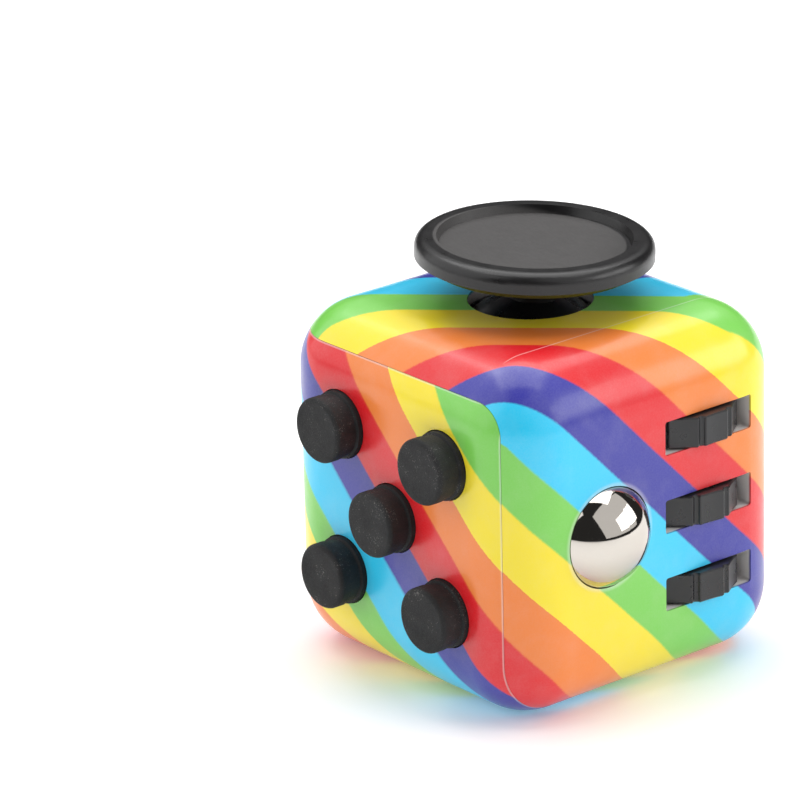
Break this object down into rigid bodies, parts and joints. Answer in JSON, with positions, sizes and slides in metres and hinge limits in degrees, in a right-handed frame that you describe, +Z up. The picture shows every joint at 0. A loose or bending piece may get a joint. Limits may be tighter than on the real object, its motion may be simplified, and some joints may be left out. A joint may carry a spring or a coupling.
{
  "type": "fidget cube",
  "caption": "Palm-sized rounded cube desk toy with sprung push buttons, a joystick, thumb wheels, a steel ball, a rocker switch and a spinning dial.",
  "frame": {"origin": "centre of the cube's underside, under the joystick's axis", "axes": "+Z up out of the joystick face, +X out of the ball and wheel face, -Y out of the button face, +Y out of the rocker face, -X out of the dial face"},
  "size_m": [0.0386, 0.0384, 0.0392],
  "materials": {
    "shell_film": "rainbow stripe film over white ABS, satin gloss",
    "white_plastic": "moulded white ABS",
    "button_rubber": "matt black rubber",
    "satin_black": "satin black",
    "gloss_black": "gloss black",
    "ball_chrome": "polished",
    "spring_steel": "bright drawn",
    "zinc_steel": "zinc plated"
  },
  "bodies": {
    "casing": {"upper_shell": "shell_film", "lower_shell": "shell_film", "shell_dowels": "white_plastic", "click_plate": "white_plastic", "click_screws": "zinc_steel", "button_springs": "spring_steel", "glide_plate": "white_plastic", "glide_screws": "zinc_steel", "glide_spring": "spring_steel", "wheel_shaft": "spring_steel", "ball_holder": "white_plastic", "holder_screws": "zinc_steel", "ball_spring": "spring_steel", "rocker_pin": "spring_steel", "leaf_spring": "spring_steel", "leaf_screws": "zinc_steel"},
    "upper_left_button": {"upper_left_button": "button_rubber"},
    "upper_right_button": {"upper_right_button": "button_rubber"},
    "middle_button": {"middle_button": "button_rubber"},
    "lower_left_button": {"lower_left_button": "button_rubber"},
    "lower_right_button": {"lower_right_button": "button_rubber"},
    "gimbal": {"gimbal_ring": "gloss_black"},
    "joystick": {"thumb_pad": "satin_black", "joystick_stem": "satin_black", "joystick_dome": "gloss_black"},
    "lower_wheel": {"lower_wheel": "gloss_black"},
    "middle_wheel": {"middle_wheel": "gloss_black"},
    "upper_wheel": {"upper_wheel": "gloss_black"},
    "ball_seat": {"ball_seat": "white_plastic"},
    "ball": {"steel_ball": "ball_chrome"},
    "rocker": {"rocker": "gloss_black"},
    "dial": {"spin_dial": "satin_black", "spin_washer": "zinc_steel", "spin_screw": "zinc_steel"}
  },
  "joints": [
    {"name": "upper_left_press", "type": "slide", "parent": "casing", "child": "upper_left_button", "axis": [0, 1, 0], "range_m": [0, 0.0011], "stiffness_N_per_m": 400, "springref_m": -0.0008},
    {"name": "upper_right_press", "type": "slide", "parent": "casing", "child": "upper_right_button", "axis": [0, 1, 0], "range_m": [0, 0.0011], "stiffness_N_per_m": 400, "springref_m": -0.0008},
    {"name": "middle_press", "type": "slide", "parent": "casing", "child": "middle_button", "axis": [0, 1, 0], "range_m": [0, 0.0011], "stiffness_N_per_m": 400, "springref_m": -0.0008, "deforming": ["button_springs"]},
    {"name": "lower_left_press", "type": "slide", "parent": "casing", "child": "lower_left_button", "axis": [0, 1, 0], "range_m": [0, 0.0011], "stiffness_N_per_m": 400, "springref_m": -0.0008},
    {"name": "lower_right_press", "type": "slide", "parent": "casing", "child": "lower_right_button", "axis": [0, 1, 0], "range_m": [0, 0.0011], "stiffness_N_per_m": 400, "springref_m": -0.0008},
    {"name": "joystick_tilt_sideways", "type": "hinge", "parent": "casing", "child": "gimbal", "pos_m": [0, 0, 0.025], "axis": [1, 0, 0], "range_deg": [-8.6, 11.4], "stiffness_Nm_per_rad": 0.02, "deforming": ["glide_spring"]},
    {"name": "joystick_tilt_forward", "type": "hinge", "parent": "gimbal", "child": "joystick", "pos_m": [0, 0, 0.025], "axis": [0, 0.9997, -0.0244], "range_deg": [-11.4, 8.6], "stiffness_Nm_per_rad": 0.02},
    {"name": "lower_wheel_spin", "type": "hinge", "parent": "casing", "child": "lower_wheel", "pos_m": [0.0123, 0.00617, 0.0165], "axis": [0, 0, 1], "continuous": true},
    {"name": "middle_wheel_spin", "type": "hinge", "parent": "casing", "child": "middle_wheel", "pos_m": [0.0123, 0.00617, 0.0165], "axis": [0, 0, 1], "continuous": true},
    {"name": "upper_wheel_spin", "type": "hinge", "parent": "casing", "child": "upper_wheel", "pos_m": [0.0123, 0.00617, 0.0165], "axis": [0, 0, 1], "continuous": true},
    {"name": "ball_press", "type": "slide", "parent": "casing", "child": "ball_seat", "axis": [-1, 0, 0], "range_m": [0, 0.0008], "stiffness_N_per_m": 500, "springref_m": -0.0008, "deforming": ["ball_spring"]},
    {"name": "ball_roll", "type": "hinge", "parent": "ball_seat", "child": "ball", "pos_m": [0.01425, -0.00562, 0.0165], "axis": [0, 0, 1], "continuous": true},
    {"name": "rocker_flip", "type": "hinge", "parent": "casing", "child": "rocker", "pos_m": [0, 0.0132, 0.0165], "axis": [1, 0, 0], "range_deg": [0, 24]},
    {"name": "dial_spin", "type": "hinge", "parent": "casing", "child": "dial", "pos_m": [-0.0165, 0, 0.0165], "axis": [-1, 0, 0], "continuous": true}
  ]
}
